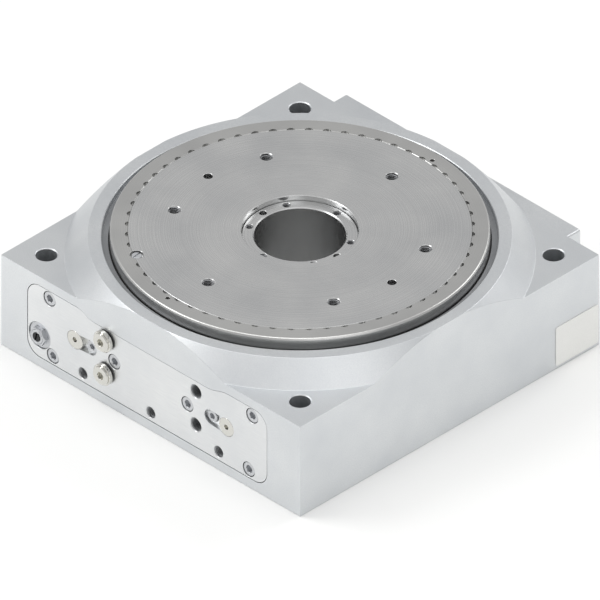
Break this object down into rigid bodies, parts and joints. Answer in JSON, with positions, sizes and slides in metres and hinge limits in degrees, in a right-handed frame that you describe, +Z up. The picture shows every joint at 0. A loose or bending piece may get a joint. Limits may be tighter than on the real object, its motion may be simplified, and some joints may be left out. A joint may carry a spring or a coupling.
{
  "type": "rotary indexing table",
  "caption": "Square pneumatic indexing table with a round turning plate, a hollow middle and a side connection panel, driven by racks and a gear.",
  "frame": {"origin": "on the table's axis at the housing's bottom face", "axes": "+Z up along the table's axis, -Y towards the connection panel, +X towards the label"},
  "size_m": [0.2706, 0.2875, 0.09],
  "materials": {
    "anodised_aluminium": "satin",
    "ground_steel": "ground",
    "blackened_steel": "satin",
    "zinc_plated_steel": "satin",
    "nickel_plated_brass": "polished",
    "bronze": "satin",
    "black_rubber": "matt",
    "acetal": "matt",
    "foil_label": "satin"
  },
  "bodies": {
    "base": {"housing": "anodised_aluminium", "label_plate": "foil_label", "base_plate": "anodised_aluminium", "base_plate_screws": "zinc_plated_steel", "front_panel": "anodised_aluminium", "front_gasket": "black_rubber", "front_panel_screws": "zinc_plated_steel", "port_plugs": "nickel_plated_brass", "port_plug_seals": "black_rubber", "flow_lock_screws": "zinc_plated_steel", "rear_plate": "anodised_aluminium", "rear_gasket": "black_rubber", "rear_plate_screws": "zinc_plated_steel", "hollow_shaft": "ground_steel", "hollow_shaft_screws": "zinc_plated_steel", "shaft_seal": "black_rubber", "bearing_outer_ring_lower": "ground_steel", "bearing_outer_ring_upper": "ground_steel", "bearing_retaining_ring": "blackened_steel", "bearing_seal": "black_rubber", "drive_thrust_washer": "bronze", "cylinder_liner_right": "anodised_aluminium", "cylinder_liner_left": "anodised_aluminium", "shock_absorber_body": "zinc_plated_steel", "shock_absorber_washer": "zinc_plated_steel", "shock_absorber_nut": "zinc_plated_steel", "lock_bolt_bush": "bronze"},
    "table": {"rotary_plate": "ground_steel", "preload_ring": "ground_steel", "preload_ring_lock_screw": "zinc_plated_steel", "bearing_inner_ring": "ground_steel", "index_disc": "ground_steel", "index_disc_screws": "zinc_plated_steel"},
    "roller_set": {"bearing_rollers": "ground_steel", "bearing_roller_spacers": "acetal"},
    "drive": {"drive_gear": "ground_steel", "drive_bush": "bronze", "stop_arm": "ground_steel", "stop_arm_screws": "zinc_plated_steel", "stop_pad": "ground_steel"},
    "coupling_pin": {"coupling_pin": "ground_steel"},
    "right_rack": {"rack_right": "ground_steel", "rack_seals_right": "black_rubber"},
    "left_rack": {"rack_left": "ground_steel", "rack_seals_left": "black_rubber"},
    "lock_bolt": {"lock_bolt": "ground_steel", "lock_bolt_seal": "black_rubber"},
    "absorber_rod": {"shock_absorber_rod": "ground_steel"},
    "absorber_adjuster": {"shock_absorber_adjuster": "blackened_steel"},
    "right_flow_screw": {"flow_screw_right": "nickel_plated_brass"},
    "left_flow_screw": {"flow_screw_left": "nickel_plated_brass"}
  },
  "joints": [
    {"name": "table_turn", "type": "hinge", "parent": "base", "child": "table", "pos_m": [0, 0, 0.073], "axis": [0, 0, 1], "continuous": true},
    {"name": "roller_travel", "type": "hinge", "parent": "base", "child": "roller_set", "pos_m": [0, 0, 0.073], "axis": [0, 0, 1], "continuous": true},
    {"name": "drive_swing", "type": "hinge", "parent": "base", "child": "drive", "pos_m": [0, 0, 0.037], "axis": [0, 0, 1], "range_deg": [0, 30]},
    {"name": "right_rack_slide", "type": "slide", "parent": "base", "child": "right_rack", "axis": [0, 1, 0], "range_m": [0, 0.03142]},
    {"name": "left_rack_slide", "type": "slide", "parent": "base", "child": "left_rack", "axis": [0, -1, 0], "range_m": [0, 0.03142]},
    {"name": "coupling_pin_lift", "type": "slide", "parent": "drive", "child": "coupling_pin", "axis": [0, 0, 1], "range_m": [0, 0.005]},
    {"name": "lock_bolt_slide", "type": "slide", "parent": "base", "child": "lock_bolt", "axis": [0, -1, 0], "range_m": [0, 0.008]},
    {"name": "absorber_rod_slide", "type": "slide", "parent": "base", "child": "absorber_rod", "axis": [0, -1, 0], "range_m": [0, 0.012], "stiffness_N_per_m": 600, "springref_m": -0.01},
    {"name": "absorber_adjuster_turn", "type": "hinge", "parent": "base", "child": "absorber_adjuster", "pos_m": [-0.1003, -0.137, 0.0242], "axis": [0, -1, 0], "range_deg": [0, 330]},
    {"name": "right_flow_screw_turn", "type": "hinge", "parent": "base", "child": "right_flow_screw", "pos_m": [0.0684, -0.135, 0.0367], "axis": [0, -1, 0], "range_deg": [0, 720]},
    {"name": "left_flow_screw_turn", "type": "hinge", "parent": "base", "child": "left_flow_screw", "pos_m": [-0.0684, -0.135, 0.0367], "axis": [0, -1, 0], "range_deg": [0, 720]}
  ],
  "couplings": [
    {"joint": "roller_travel", "follows": "table_turn", "ratio": 0.5},
    {"joint": "right_rack_slide", "follows": "drive_swing", "m_per_rad": 0.06},
    {"joint": "left_rack_slide", "follows": "drive_swing", "m_per_rad": 0.06}
  ]
}
